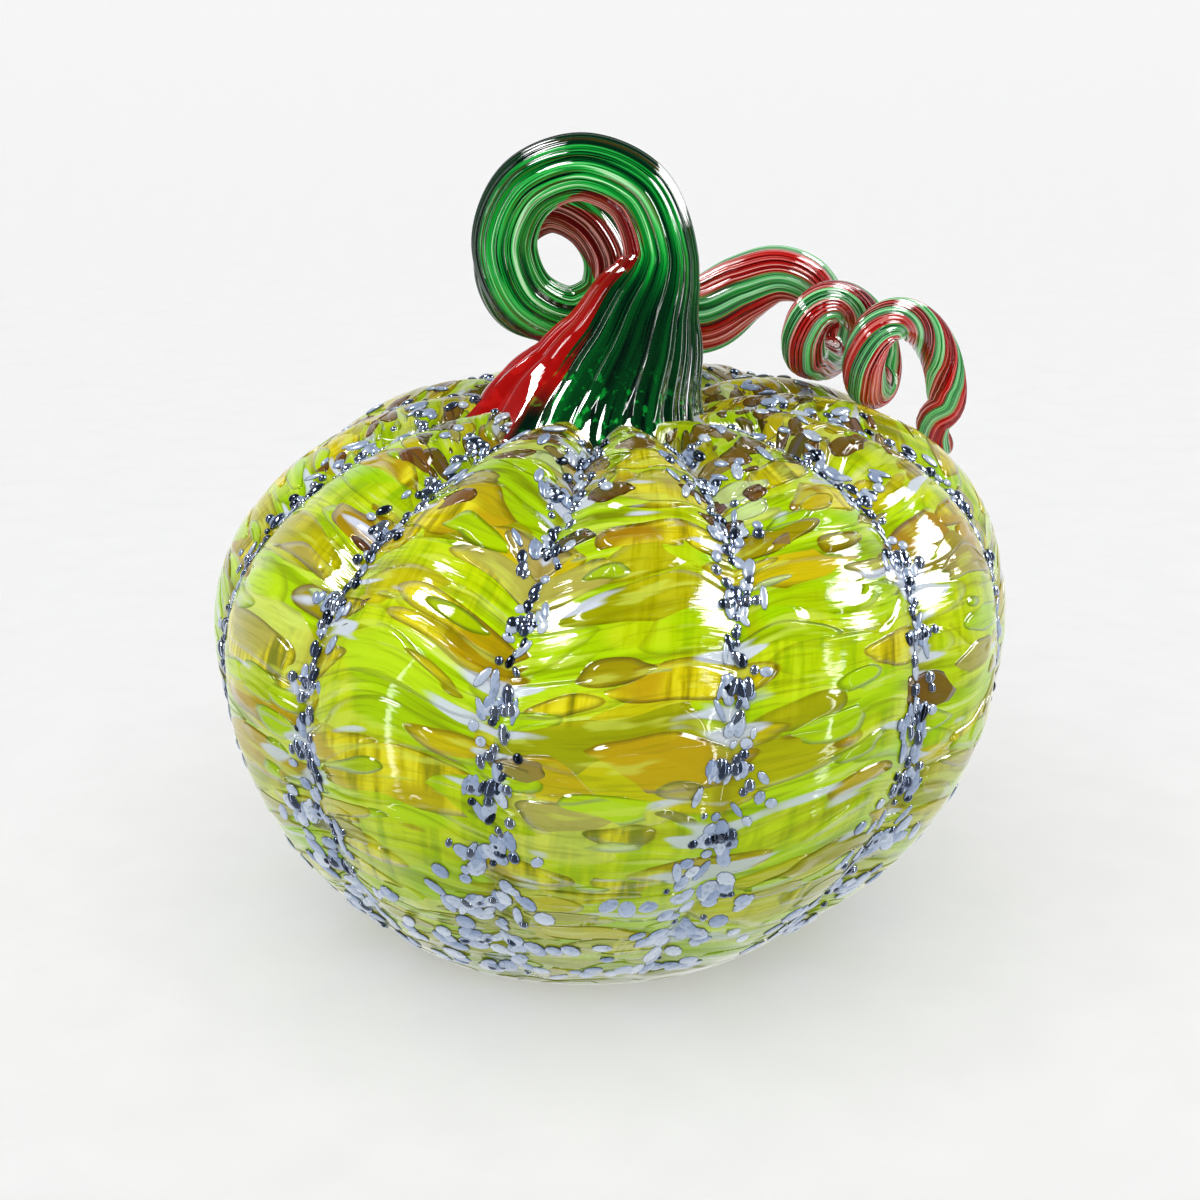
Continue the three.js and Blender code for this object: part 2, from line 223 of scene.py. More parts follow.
class Wire:
    """A socket of a material's nodes. Arithmetic on wires adds Math nodes."""

    def __init__(self, tree, socket=None):
        self.tree, self.socket = tree, socket

    def node(self, kind, settings, values, output=0):
        """Adds a node, sets it up, then gives its sockets their values or links."""
        made = self.tree.nodes.new(kind)
        for name, setting in settings.items():
            if name == "stops":
                ramp = made.color_ramp
                ramp.interpolation = setting[0]
                first, *others, last = setting[1]
                ramp.elements[0].position, ramp.elements[0].color = first
                ramp.elements[1].position, ramp.elements[1].color = last
                for place, colour in others:
                    ramp.elements.new(place).color = colour
            else:
                setattr(made, name, setting)
        for name, value in values.items():
            if isinstance(value, Wire):
                self.tree.links.new(value.socket, made.inputs[name])
            else:
                made.inputs[name].default_value = value
        return Wire(self.tree, made.outputs[output] if made.outputs else None)

    def also(self, output):
        """Another output of the node that this wire comes from"""
        return Wire(self.tree, self.socket.node.outputs[output])

    def math(self, operation, *values):
        """Maths on this wire and others"""
        values = dict(enumerate((self, *values)))
        return self.node("ShaderNodeMath", {"operation": operation}, values)

    def __add__(self, other):
        return self.math("ADD", other)

    def __sub__(self, other):
        return self.math("SUBTRACT", other)

    def __rsub__(self, other):
        return self * -1 + other

    def __mul__(self, other):
        return self.math("MULTIPLY", other)

    __radd__ = __add__
    __rmul__ = __mul__

    def vector(self, operation, *values):
        """Vector maths on this wire and others"""
        values = dict(enumerate((self, *values)))
        return self.node("ShaderNodeVectorMath", {"operation": operation}, values)

    def rise(self, low, high):
        """0 below low and 1 above high, smooth between them"""
        settings = {"interpolation_type": "SMOOTHSTEP"}
        return self.node("ShaderNodeMapRange", settings, {0: self, 1: low, 2: high})

    def part(self, number):
        """One of the three parts of a vector or colour"""
        return self.node("ShaderNodeSeparateXYZ", {}, {0: self}, number)

    def under(self, colour, share):
        """This colour with another laid over it by a share"""
        colour = glass_colour(colour) if isinstance(colour, str) else colour
        return self.node("ShaderNodeMix", {"data_type": "RGBA"}, {0: share, 6: self, 7: colour}, 2)

    def ramp(self, kind, stops):
        return self.node("ShaderNodeValToRGB", {"stops": (kind, stops)}, {0: self})

    def shades(self, *stops):
        """Colours that run into one another, given as places and codes"""
        return self.ramp("LINEAR", [(place, glass_colour(code)) for place, code in stops])

    def palette(self, *codes):
        """One of several colours, picked by this random value"""
        places = [number / len(codes) for number in range(len(codes))]
        return self.ramp("CONSTANT", list(zip(places, map(glass_colour, codes))))

    def fog(self, scale, detail, output=0):
        """Soft random cloud at these coordinates, as a value or as a colour"""
        values = {"Vector": self, "Scale": scale, "Detail": detail}
        return self.node("ShaderNodeTexNoise", {}, values, output)

    def streaks(self, across, along, detail):
        """Random cloud that changes at one pace across the glass and at another along it"""
        return self.vector("MULTIPLY", (across, across, along)).fog(1, detail)

    def attribute(self, name, output):
        """A layer of the mesh, as a vector or as a value"""
        return self.node("ShaderNodeAttribute", {"attribute_name": name}, {}, output)

    def end_with(self, look):
        """Ends the material with a surface of this look"""
        lit = self.node("ShaderNodeBsdfPrincipled", {}, look)
        self.node("ShaderNodeOutputMaterial", {}, {"Surface": lit})


def new_material(name):
    made = bpy.data.materials.new(name)
    made.use_nodes = True
    made.node_tree.nodes.clear()
    return made, Wire(made.node_tree)


# Outputs of the nodes, by their numbers
as_vector, as_value = 1, 2
as_colour = 1
over_object = 3

# Chips: their width and height in millimetres, a seed, and their radius as a part of a cell
large_chips = {"wide": 34, "tall": 9.5, "seed": 3.1, "least": 0.45, "most": 0.8}
amber_chips = {"wide": 28, "tall": 7.8, "seed": 11.7, "least": 0.4, "most": 0.72}
small_chips = {"wide": 19, "tall": 5.3, "seed": 29.3, "least": 0.34, "most": 0.62}
brown_chips = {"wide": 14, "tall": 5, "seed": 47.9, "least": 0.38, "most": 0.7}
ragged_scale = 1.1
raggedness = (0.7, 0.7, 0.7)
chip_edge = (0, 0.02)
chip_rim = (0.01, 0.075)
chip_dome = (0, 0.11)

# Patterns: changes per millimetre across the skin and up it, and detail
streak_pattern = (0.03, 0.36, 3)
fine_pattern = (0.07, 1.3, 3)
band_pattern = (0.2, 0.018, 2)
hatch_pattern = (0.9, 0.16, 2)
clear_pattern = (0.03, 0.07, 1)
milk_pattern = (0.055, 0.4, 2)
wisp_pattern = (0.05, 0.26, 1)
flow_scale = 1 / 42
flow_reach = (16, 16, 20)
groove_sag = 3
# Painted light: the body glows in its own colour, standing in for light that passes through the
# glass
body_painted_glow = 0.14


def chips(lay, share, wide, tall, seed, least, most):
    """Melted chips: how much one covers, its rim, its height and its random colour"""
    spread = lay.vector("MULTIPLY_ADD", (1 / wide, 1 / wide, 1 / tall), (seed, seed, seed))
    ragged = spread.fog(ragged_scale, 1, as_colour).vector("MULTIPLY_ADD", raggedness, spread)
    cells = {"feature": "F1", "voronoi_dimensions": "3D"}
    distance = ragged.node("ShaderNodeTexVoronoi", cells, {"Vector": ragged, "Scale": 1})
    pick = distance.also(as_colour)
    radius = least + (most - least) * pick.part(1)
    there = pick.part(2).math("LESS_THAN", share)
    depth = (radius - distance) * there
    cover = depth.rise(*chip_edge)
    rim = cover - depth.rise(*chip_rim)
    return cover, rim, depth.rise(*chip_dome), pick.part(0)


glass, start = new_material("chip_covered_glass")
lay = start.attribute("lay", as_vector)
valley = start.attribute("valley", as_value)
height = lay.part(2)
drift = lay.fog(flow_scale, 1, as_colour).vector("MULTIPLY_ADD", flow_reach, lay)
sag = lay.node("ShaderNodeCombineXYZ", {}, {2: valley * valley * groove_sag})
flow = drift.vector("ADD", sag)

# The ground between the chips: lime glass drawn out in milky streaks
streak = flow.streaks(*streak_pattern)
fine = flow.streaks(*fine_pattern)
stops = (0.3, "#7C8A00"), (0.42, "#9CC000"), (0.52, "#AEDA00"), (0.62, "#C0E414"), (0.73, "#DCF094")
ground = streak.shades(*stops).under("#8CA600", fine.rise(0.5, 0.66) * 0.45)

# Clear windows: painted light seen through the bubble, shown as bright upright bands
band = lay.streaks(*band_pattern)
hatch = lay.streaks(*hatch_pattern)
stops = (0.52, "#6A7000"), (0.6, "#A89C00"), (0.68, "#E0D400"), (0.76, "#F8F02C")
painted_through_light = (band + hatch * 0.35).shades(*stops)
clear = lay.streaks(*clear_pattern).rise(0.46, 0.54)

# Large pale and lime chips, then amber, olive and khaki ones, then small pale and lime ones
cover, rim, swelling, pick = chips(flow, 0.95, **large_chips)
codes = ("#A4D800", "#C2E61C", "#B4A800", "#AAD000", "#DCE870", "#9A9200", "#B8E000", "#CCBE04")
surface = ground.under(pick.palette(*codes), cover * (0.5 + streak * 0.6))
surface = surface.under("#5A6400", rim * 0.5)
relief_map = swelling * 0.6
cover, rim, swelling, pick = chips(flow, 0.72, **amber_chips)
codes = ("#B88C02", "#9E8408", "#D4B80C", "#AA7606", "#B4A650", "#C49C0C", "#948A0C", "#C8A80C")
surface = surface.under(pick.palette(*codes), cover * 0.86)
# Painted light: the light seen through the clear windows is laid over the chips
surface = surface.under(painted_through_light, clear * (0.3 + cover * 0.5))
surface = surface.under("#4E3A00", rim * 0.62)
relief_map = relief_map + swelling
cover, rim, swelling, pick = chips(flow, 0.52, **small_chips)
codes = ("#B4DE00", "#D4EC9C", "#D0BE10", "#A4C800", "#B0A05C", "#AAD800")
surface = surface.under(pick.palette(*codes), cover * 0.85)
surface = surface.under("#465000", rim * 0.65)
relief_map = relief_map + swelling * 0.8

# Threads drawn out across them all, dark and pale, and a darker amber along the grooves
milk = flow.streaks(*milk_pattern)
surface = surface.under("#6C7400", fine.rise(0.52, 0.64) * 0.24)
surface = surface.under("#DCEC5C", milk.rise(0.56, 0.64) * 0.45)
surface = surface.under("#7C6404", valley.rise(0.7, 1) * band.rise(0.4, 0.6) * 0.6)

# Milky lavender wisps with drawn-out ends
wisp = flow.streaks(*wisp_pattern) + valley * valley * 0.12
surface = surface.under("#D6DEF0", wisp.rise(0.67, 0.73) * 0.9)

# Small red-brown chips, mostly round the crown
crowned = height.rise(116, 148) * 0.6 + valley * height.rise(80, 120) * 0.16 + 0.03
cover, rim, swelling, pick = chips(flow, crowned, **brown_chips)
codes = ("#541810", "#744024", "#3C0E14", "#8C7040", "#5E2812", "#6C2C1C")
surface = surface.under(pick.palette(*codes), cover * 0.9)
surface = surface.under("#240A04", rim * 0.7)
relief_map = relief_map + swelling * 0.7

# Greener and darker towards the base, painted shade where the base meets the table, and deeper olive
# round the crown
surface = surface.under("#728E2C", (1 - height.rise(25, 110)) * 0.55)
# Painted shade: a dark olive edge where the base sits on the table
surface = surface.under("#566000", (1 - height.rise(2, 28)) * 0.6)
surface = surface.under("#4E5600", height.rise(112, 150) * 0.34)

bump = {"Strength": 1, "Distance": 0.001, "Height": relief_map + fine * 0.08 + milk * 0.2}
skin = start.node("ShaderNodeBump", {}, bump)
look = {
    "Base Color": surface,
    "Roughness": 0.04,
    "IOR": 1.55,
    "Normal": skin,
    # Painted glow: emission in the body's own colour
    "Emission Color": surface,
    "Emission Strength": body_painted_glow,
}
start.end_with(look)
body.data.materials.append(glass)
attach(body, "root")
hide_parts("body_shell")


# Frit: coarse silvered beads and pale blue-grey flakes of glass. The hot bubble was
# rolled over a line of them for each groove, and they fused to it where they stuck.

beads_per_row = 290
frit_stops = 400
frit_top_radius = 30
frit_end_height = 5
frit_sunk = 0.35
frit_lift = 0.1
side_step = 0.3
climb_step = 0.004
bead_sides = 9
bead_rings = 6
row_jitter = 0.8
clump_reach = 0.02
clump_pace = 60
low_from = 0.5
low_over = 0.38
high_over = 0.4
flake_chances = (0.4, 0.5, 0.05)
bead_least = 0.65
bead_most = 1.25
bead_stretches = (1, 1.1, 1.3, 1.8)
bead_flat_share = (0.6, 0.9)
bead_spreads = (1.6, 3, 1.1)
flake_width = (0.55, 1.35)
flake_length = (0.8, 2.6)
flake_thickness = (0.3, 0.55)
flake_spreads = (2.4, 5, 2)
low_wider = 0.7
low_longer = 0.4
high_longer = 0.2
high_thicker = 0.3
most_lean = 0.7
frit_cloud_scale = 900

silver, start = new_material("silvered_frit")
tone = start.attribute("tone", as_value)
flake = start.attribute("flake", as_value)
rim = start.attribute("rim", as_value)
cloud = start.node("ShaderNodeTexCoord", {}, {}, over_object).fog(frit_cloud_scale, 2)
blue = tone.shades((0, "#94A8CA"), (0.5, "#B2C2DC"), (1, "#D4E0EE"))
blue = blue.under("#5A6E88", cloud.rise(0.5, 0.7) * 0.4)
blue = blue.under("#141C26", rim.rise(0.6, 0.95) * 0.8)
mirror = tone.shades((0, "#202A38"), (0.4, "#6E7E9C"), (1, "#C2CEE2"))
look = {
    "Base Color": mirror.under(blue, flake),
    "Metallic": 0.8 - flake * 0.72,
    "Roughness": 0.05 + flake * 0.15,
    "IOR": 1.6,
    "Coat Weight": 0.3,
    "Coat Roughness": 0.03,
}
start.end_with(look)

dome = bmesh.new()
rim_of = dome.verts.layers.float.new("rim")
for layer in ("tone", "flake"):
    dome.verts.layers.float.new(layer)
bmesh.ops.create_uvsphere(dome, u_segments=bead_sides, v_segments=bead_rings, radius=1)
for point in dome.verts:
    point[rim_of] = 1 - max(0, point.co.z)
one_bead = bpy.data.meshes.new("one_bead")
dome.to_mesh(one_bead)
dome.free()
round_bead = [part for point in one_bead.vertices for part in point.co]
bead_points = len(one_bead.vertices)

frit_top = crown_angle(frit_top_radius)
frit_angles = even_angles(frit_top, low_angle(frit_end_height), frit_stops)[0]
frit_shares = np.linspace(0, 1, frit_stops)
for number in range(1, lobe_count + 1):
    dice = random.Random(number)
    azimuth = (number - 0.5) * lobe_step
    row = bmesh.new()
    for bead in range(beads_per_row):
        share = (bead + dice.uniform(-row_jitter, row_jitter)) / beads_per_row
        share += clump_reach * math.sin(share * clump_pace + number)
        share = min(1, max(0, share))
        angle = float(np.interp(share, frit_shares, frit_angles))
        low = smooth((share - low_from) / low_over)
        high = 1 - smooth(share / high_over)
        chance, more_low, more_high = flake_chances
        is_flake = dice.random() < chance + more_low * low + more_high * high
        spread, more_low, more_high = flake_spreads if is_flake else bead_spreads
        across = dice.gauss(0, spread + more_low * low + more_high * high)
        radius = profile_at(angle)[0]
        here = skin_point(angle, azimuth + across / radius, -frit_sunk)
        aside = skin_point(angle, azimuth + (across + side_step) / radius, -frit_sunk) - here
        above = skin_point(angle + climb_step, azimuth + across / radius, -frit_sunk) - here
        out = aside.cross(above).normalized()
        width = dice.uniform(bead_least, bead_most)
        long = width * dice.choice(bead_stretches)
        thick = width * dice.uniform(*bead_flat_share)
        if is_flake:
            width = dice.uniform(*flake_width) * (1 + low_wider * low)
            long = dice.uniform(*flake_length) * (1 + low_longer * low + high_longer * high)
            thick = dice.uniform(*flake_thickness) * (1 + high_thicker * high)
        lean = dice.uniform(-most_lean, most_lean)
        upward = above.normalized() * math.cos(lean) + aside.normalized() * math.sin(lean)
        sideways = upward.cross(out).normalized()
        stand = Matrix((sideways * width, out.cross(sideways) * long, out * thick))
        where = Matrix.Translation(here + out * frit_lift) @ stand.transposed().to_4x4()
        layers = {"tone": dice.random(), "flake": 1 if is_flake else 0}
        for layer, value in layers.items():
            one_bead.attributes[layer].data.foreach_set("value", [value] * bead_points)
        one_bead.vertices.foreach_set("co", round_bead)
        one_bead.transform(where)
        row.from_mesh(one_bead)
    bmesh.ops.scale(row, vec=(MM, MM, MM), verts=row.verts[:])
    for face in row.faces:
        face.smooth = True
    beads = new_piece(f"frit_beads_{number:02d}", row)
    beads.data.materials.append(silver)
    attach(beads, "root")
    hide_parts(f"frit_row_{number:02d}")


# Green side of the stem: a gather of emerald glass dropped on the crown from a fluted
# optic mould, then drawn up, wound round the crook and let out into the curled vine.

seat = np.array([-1.0, 0.0, waist_height + crown_rise - dimple_depth])
stem_sink = 5
foot_radius = 24.5
shaft_height = 36
# Right, back and up, then half width and half depth, as shares of the foot or of the shaft
shaft_stops = [
    (0.0, 0.0, 0.0, 1.0, 0.9),
    (0.01, 0.0, 0.14, 1.0, 0.88),
    (0.04, -0.03, 0.26, 0.9, 0.64),
    (0.12, -0.08, 0.42, 0.73, 0.41),
    (0.23, -0.13, 0.61, 0.6, 0.31),
    (0.32, -0.15, 0.81, 0.48, 0.28),
    (0.42, -0.13, 0.99, 0.36, 0.27),
]
cane_radius = 7.3
cane_depth_share = 0.84
crook_eighths = 15
crook_radius = 15.6
crook_tightens = 4.6
crook_left = 4.7
crook_left_drift = 6.3
crook_height = 35.3
crook_drop = 5
crook_settles = 3
crook_front = 2.5
crook_depth = 18.9
crook_depth_power = 0.9
crook_slims_first = 0.08
crook_slims_later = 0.14
drawn_from = 0.45
drawn_over = 0.7
settled_from = 1.2
settled_over = 0.4
# Right, back and up from the seat, then half width and half depth as shares of the radius
arch_stops = [
    (5, 28.4, 15.8, 0.93, 0.86),
    (13.5, 29, 15.8, 1.08, 0.86),
    (21.5, 29, 17.1, 1.14, 0.86),
    (29, 29, 22.2, 1.01, 0.84),
    (36, 29, 25.5, 0.85, 0.79),
    (42.5, 31, 24.2, 0.74, 0.73),
    (47.5, 36, 18.6, 0.68, 0.68),
    (50, 38.6, 12.5, 0.65, 0.65),
    (49, 34.8, 7.1, 0.64, 0.64),
]
vine_tenths = 19
vine_first_turn = -0.25
vine_heading = math.radians(33)
vine_half_width = 9.5
vine_half_height = 7.1
vine_growth = 0.22
vine_slope = 0.28
vine_right = 46.8
vine_right_step = 13.6
vine_back = 22
vine_front_step = 0.6
vine_height = 14.4
vine_drop_step = 5
vine_radius = 4.55
vine_radius_loss = 0.08
vine_twist = 0.55
# Right, back and up from the seat, then the radius
tail_stops = [
    (74.3, 30.2, -3.4, 4.09),
    (71.9, 30, -6.7, 3.86),
    (72.4, 31.2, -10.45, 3.39),
    (76, 33, -14.6, 2.9),
]
cane_rings = 520
cane_tries = 3001
flutes = 22
flute_depth = 0.075
flute_power = 2.2
foot_flute_depth = 0.07
foot_flute_length = 30
foot_swell = 0.05
foot_toe = 0.2
toe_from = 2
toe_over = 13
tip_length = 4
tip_least = 0.02
points_per_flute = 6
cane_weld = 0.0001
tiny = 1e-4
red_half_angle = math.radians(72)

# Patterns of the cane: changes round it, changes per centimetre along it, and detail
cloud_pattern = (3.5, 0.22, 2)
thread_pattern = (14, 0.2, 2)
vein_pattern = (23, 0.5, 2)
glint_pattern = (9, 5, 2)
smoke_pattern = (9, 0.3, 2)

# Where one look of the cane gives way to the next, as shares of its length
foot_end = (0.025, 0.06)
shaft_end = (0.075, 0.12)
crook_end = (0.43, 0.47)
vine_start = (0.4, 0.47)

# The red ribbon: its half breadth in degrees at the foot, and from where to where it gains more
ribbon_breadth = 54
ribbon_gains = [
    (0.01, 0.05, -10),
    (0.05, 0.1, -10),
    (0.2, 0.3, 22),
    (0.38, 0.46, 24),
    (0.55, 0.62, 9),
]
ribbon_edge = (-2.5, 2.5)
thread_rag = 26
cloud_rag = 14
second_middle = 146
toe_middle = 50
# Painted light: the cane glows in its own colour, standing in for light through the glass
cane_painted_glow = 0.12


def cane_route():
    """Stops along the cane: where its middle is, and its half width and half depth"""
    route = []
    for right, back, up, wide, deep in shaft_stops:
        place = (right * foot_radius, back * foot_radius, up * shaft_height - stem_sink)
        route.append((place, wide * foot_radius, deep * foot_radius))
    for eighth in range(crook_eighths):
        turn = eighth / 8
        drawn = smooth((turn - drawn_from) / drawn_over)
        settled = smooth((turn - settled_from) / settled_over)
        radius = crook_radius - crook_tightens * drawn
        aim = 2 * math.pi * turn
        right = radius * math.cos(aim) - crook_left - crook_left_drift * drawn
        back = crook_depth * turn**crook_depth_power - crook_front
        up = crook_height - crook_drop * drawn - crook_settles * settled + radius * math.sin(aim)
        slim = crook_slims_first * min(1, 4 * turn) + crook_slims_later * drawn
        route.append(((right, back, up), cane_radius * (1 - slim), cane_radius * cane_depth_share))
    for right, back, up, wide, deep in arch_stops:
        route.append(((right, back, up), wide * cane_radius, deep * cane_radius))
    for tenth in range(vine_tenths):
        turn = tenth * 0.1 + vine_first_turn
        grown = 1 + vine_growth * turn
        reach = vine_half_width * grown * math.cos(2 * math.pi * turn)
        climb = vine_half_height * grown * math.sin(2 * math.pi * turn) + vine_slope * reach
        right = vine_right + vine_right_step * turn - reach * math.sin(vine_heading)
        back = vine_back - vine_front_step * turn - reach * math.cos(vine_heading)
        up = vine_height - vine_drop_step * turn + climb
        thick = vine_radius - vine_radius_loss * max(0, turn)
        route.append(((right, back, up), thick, thick))
    for right, back, up, thick in tail_stops:
        route.append(((right, back, up), thick, thick))
    places = np.array([np.array(place) + seat for place, wide, deep in route])
    return places, np.array([(wide, deep) for place, wide, deep in route])


def on_curve(stops, share):
    """The point of a smooth curve through the stops, at a share of its stretches"""
    place = min(max(share, 0), 1) * (len(stops) - 1)
    first = min(int(place), len(stops) - 2)
    t = place - first
    p1, p2 = stops[first], stops[first + 1]
    p0 = stops[first - 1] if first else 2 * p1 - p2
    p3 = stops[first + 2] if first + 2 < len(stops) else 2 * p2 - p1
    d0, d1, d2 = (math.sqrt(np.linalg.norm(b - a)) for a, b in ((p0, p1), (p1, p2), (p2, p3)))
    d1 = d1 if d1 > tiny else 1
    d0 = d0 if d0 > tiny else d1
    d2 = d2 if d2 > tiny else d1
    leave = ((p1 - p0) / d0 - (p2 - p0) / (d0 + d1) + (p2 - p1) / d1) * d1
    arrive = ((p2 - p1) / d1 - (p3 - p1) / (d1 + d2) + (p3 - p2) / d2) * d1
    bend = 3 * (p2 - p1) - 2 * leave - arrive
    return p1 + leave * t + bend * t**2 + (2 * (p1 - p2) + leave + arrive) * t**3


places, sizes = cane_route()
tries = np.linspace(0, 1, cane_tries)
track = np.array([on_curve(places, share) for share in tries])
travelled = np.concatenate([[0], np.cumsum(np.linalg.norm(np.diff(track, axis=0), axis=1))])
cane_length = travelled[-1]
cane = []
twist = math.pi
for ring in range(cane_rings):
    share = ring / (cane_rings - 1)
    t = float(np.interp(share * cane_length, travelled, tries))
    along = on_curve(places, min(t + tiny, 1)) - on_curve(places, max(t - tiny, 0))
    along /= np.linalg.norm(along)
    axial = np.array([0.0, 1.0, 0.0]) - along * along[1]
    axial /= np.linalg.norm(axial)
    wide, deep = on_curve(sizes, t)
    twist += vine_twist * share**2 * (cane_length / (cane_rings - 1)) / ((wide + deep) / 2)
    cane.append((on_curve(places, t), np.cross(axial, along), axial, wide, deep, twist))


def flute_at(angle):
    """The number of flutes up to an angle round the cane; their widths differ a little"""
    return angle / (2 * math.pi) * flutes + 0.5 * math.sin(2 * angle + 1) + 0.3 * math.sin(5 * angle)


def cane_point(ring, angle, share):
    """A point of the fluted skin of the cane, on one ring and at an angle round it"""
    at, radial, axial, wide, deep, twist = ring
    to_end = (1 - share) * cane_length / tip_length
    close = math.sqrt(max(tip_least, 1 - (1 - to_end) ** 2)) if to_end < 1 else 1
    flute = flute_at(angle)
    cusp = abs(2 * (flute - math.floor(flute)) - 1)
    depth = flute_depth + foot_flute_depth * (1 - smooth(share * cane_length / foot_flute_length))
    turn = angle + twist
    lobe = math.atan2(math.cos(turn), -math.sin(turn)) / lobe_step
    groove = (2 * abs(lobe - round(lobe))) ** 3
    toe = foot_swell + foot_toe * groove
    toe *= 1 - smooth((share * cane_length - toe_from) / toe_over)
    size = close * (1 + toe - depth * cusp**flute_power)
    return at + radial * (wide * size * math.cos(turn)) + axial * (deep * size * math.sin(turn))


def cane_side(name, first_angle, last_angle, material):
    """One side of the cane: a sheet rolled up round its route, and closed at both ends"""
    steps = round((last_angle - first_angle) / (2 * math.pi) * flutes * points_per_flute)
    side = bmesh.new()
    around_of = side.verts.layers.float_vector.new("around")
    share_of = side.verts.layers.float.new("share")
    flute_of = side.verts.layers.float.new("flute")
    outer_of = side.verts.layers.float.new("outer")
    bmesh.ops.create_grid(side, x_segments=steps + 1, y_segments=cane_rings - 1, size=1)
    for point in side.verts:
        column = round((point.co.x + 1) / 2 * (steps + 1)) % (steps + 1)
        number = round((point.co.y + 1) / 2 * (cane_rings - 1))
        angle = first_angle + (last_angle - first_angle) * column / steps
        share = number / (cane_rings - 1)
        point.co = cane_point(cane[number], angle, share)
        # A place on a circle, and the way along the cane in centimetres
        point[around_of] = (math.cos(angle), math.sin(angle), share * cane_length / 10)
        point[share_of] = share
        point[flute_of] = flute_at(angle)
        point[outer_of] = math.cos(angle + cane[number][5])
    bmesh.ops.remove_doubles(side, verts=side.verts[:], dist=cane_weld)
    bmesh.ops.holes_fill(side, edges=[edge for edge in side.edges if edge.is_boundary])
    bmesh.ops.recalc_face_normals(side, faces=side.faces[:])
    bmesh.ops.scale(side, vec=(MM, MM, MM), verts=side.verts[:])
    for face in side.faces:
        face.smooth = len(face.verts) == 4
    piece = new_piece(name, side)
    piece.data.materials.append(material)
    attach(piece, "root")
    return piece


def cane_glass(name):
    """Emerald glass with a ribbon of red, which is broad at the foot and narrow in the crook,
    and which parts into several bands where the cane is twisted most"""
    made, start = new_material(name)
    around = start.attribute("around", as_vector)
    share = start.attribute("share", as_value)
    flute = start.attribute("flute", as_value)
    outer = start.attribute("outer", as_value)
    flank = flute.math("FRACT") - 0.5
    ridge = 1 - 2 * flank.math("ABSOLUTE")
    cloud = around.streaks(*cloud_pattern)
    thread = around.streaks(*thread_pattern)
    vein = around.streaks(*vein_pattern)
    # Lightness of the glass: clouds and threads of paler and darker glass, with a painted highlight
    # down the middle of each flute
    glow = ridge.rise(0.1, 0.9) * 0.36 + cloud * 1.9 - 0.68 + thread.rise(0.54, 0.64) * 0.56
    glow = glow - vein.rise(0.52, 0.6) * 0.54
    shaft = 1 - share.rise(*shaft_end)
    crook = share.rise(*shaft_end) * (1 - share.rise(*crook_end))
    # Painted shade: the outer rim of the crook is made nearly black
    edge = outer.rise(0.55, 0.85) * crook
    glint = around.streaks(*glint_pattern).rise(0.56, 0.68)
    glow = glow * (1 - shaft * 0.86) * (1 - edge * 0.92)
    # Painted glints of bright green round the foot
    glow = glow + glint * (1 - share.rise(*foot_end)) * 0.5
    stops = (0, "#01180E"), (0.2, "#045A20"), (0.45, "#0A9A30"), (0.76, "#42CC5E"), (1, "#C8F6C4")
    green = glow.shades(*stops)
    vine = share.rise(*vine_start)
    green = green.under("#A8ECB4", vine * thread.rise(0.4, 0.6) * 0.5)
    smoke = around.streaks(*smoke_pattern)
    green = green.under("#4E3C08", smoke.rise(0.6, 0.66) * crook * 0.75)
    red = glow.shades((0, "#460404"), (0.25, "#960E0C"), (0.6, "#CC221E"), (0.95, "#F4ACA4"))
    bright = red.under("#C4100A", 0.7)
    red = red.under(bright, 1 - share.rise(0.06, 0.1))
    # Darker red through the crook, partly painted shade on its shadowed inner ring, with lighter
    # threads
    red = red.under("#480A08", crook * (0.8 - thread.rise(0.45, 0.6) * 0.6))

    # The ribbon turns once round the cane in the crook: inside, behind, outside, then in front
    turned = share.rise(0.075, 0.11) * 0.45 - share.rise(0.13, 0.385) * 6.73
    turned = turned - share.rise(0.43, 0.48) * (1 - share.rise(0.6, 0.68)) * 0.55
    facing = around.part(0) * turned.math("COSINE") + around.part(1) * turned.math("SINE")
    aside = facing.math("ARCCOSINE") * (180 / math.pi)
    ragged = aside + (thread - 0.5) * thread_rag + (cloud - 0.5) * cloud_rag
    breadth = ribbon_breadth
    for first, last, gain in ribbon_gains:
        breadth = share.rise(first, last) * gain + breadth
    ribbon = 1 - (ragged - breadth).rise(*ribbon_edge)
    second = (1 - (ragged - second_middle).math("ABSOLUTE").rise(16, 22)) * share.rise(0.6, 0.66)
    slit = (1 - ragged.rise(18, 24)) * vine
    toe = (1 - (aside - toe_middle).math("ABSOLUTE").rise(3, 7)) * (1 - share.rise(0.02, 0.034))
    ribbon = (ribbon + second - slit - toe).math("MAXIMUM", 0).math("MINIMUM", 1)
    colour = green.under(red, ribbon)
    lines = {"Strength": 1, "Distance": 0.0001, "Height": thread}
    look = {
        "Base Color": colour,
        "Roughness": 0.03,
        "IOR": 1.6,
        "Coat Weight": 1 - share.rise(0.05, 0.1) * 0.85,
        "Coat IOR": 1.8,
        "Coat Roughness": 0.02,
        "Normal": start.node("ShaderNodeBump", {}, lines),
        # Painted glow: emission in the cane's own colour
        "Emission Color": colour,
        "Emission Strength": cane_painted_glow,
    }
    start.end_with(look)
    return made


emerald = cane_glass("emerald_glass")
green_side = cane_side("green_cane", red_half_angle, 2 * math.pi - red_half_angle, emerald)
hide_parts("stem_green")


# Red side of the stem: a ribbon of opaque red glass laid on the left of the green gather
# before it was drawn, so that it runs up beside the green and twists with it to the tip.

ruby = cane_glass("red_glass")
red_side = cane_side("red_cane", -red_half_angle, red_half_angle, ruby)
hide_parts("stem_red")


# Table: a plain pale sheet that curves up far off at its edges, like a roll of studio paper.
# It is staging and no part of the pumpkin. Soft studio light falls on it.

